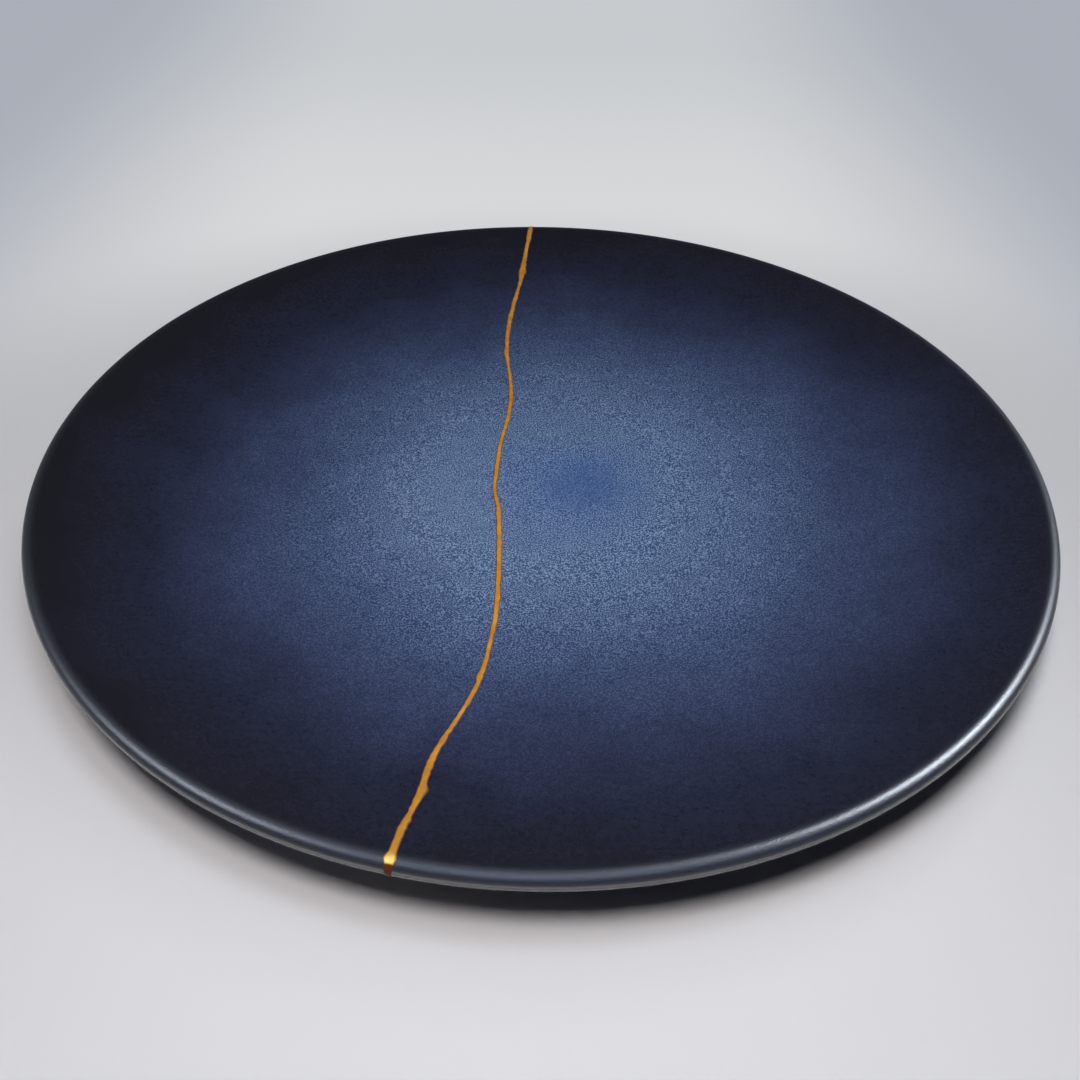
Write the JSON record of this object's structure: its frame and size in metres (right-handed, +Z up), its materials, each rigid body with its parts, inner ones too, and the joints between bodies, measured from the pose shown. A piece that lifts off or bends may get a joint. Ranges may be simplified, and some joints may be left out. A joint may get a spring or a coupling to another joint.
{
  "type": "kintsugi plate",
  "caption": "Broken coupe dinner plate in mottled deep-blue glaze, mended with a gold lacquer seam that wanders from rim to rim, standing on a turned foot ring.",
  "frame": {"origin": "centre of the foot's underside, on the table", "axes": "+Z up along the plate's turned axis; -Y towards the picture's viewer; +X to the picture's right"},
  "size_m": [0.27, 0.2701, 0.0238],
  "materials": {
    "blue_glaze": "satin reactive glaze, mottled steel blue in the well, falling to blue-black towards the rim",
    "gold_lacquer": "gold powder on lacquer, satin orange-gold, slightly raised"
  },
  "bodies": {
    "root": {"left_sherd": "blue_glaze", "right_sherd": "blue_glaze", "gold_seam": "gold_lacquer"}
  },
  "joints": []
}
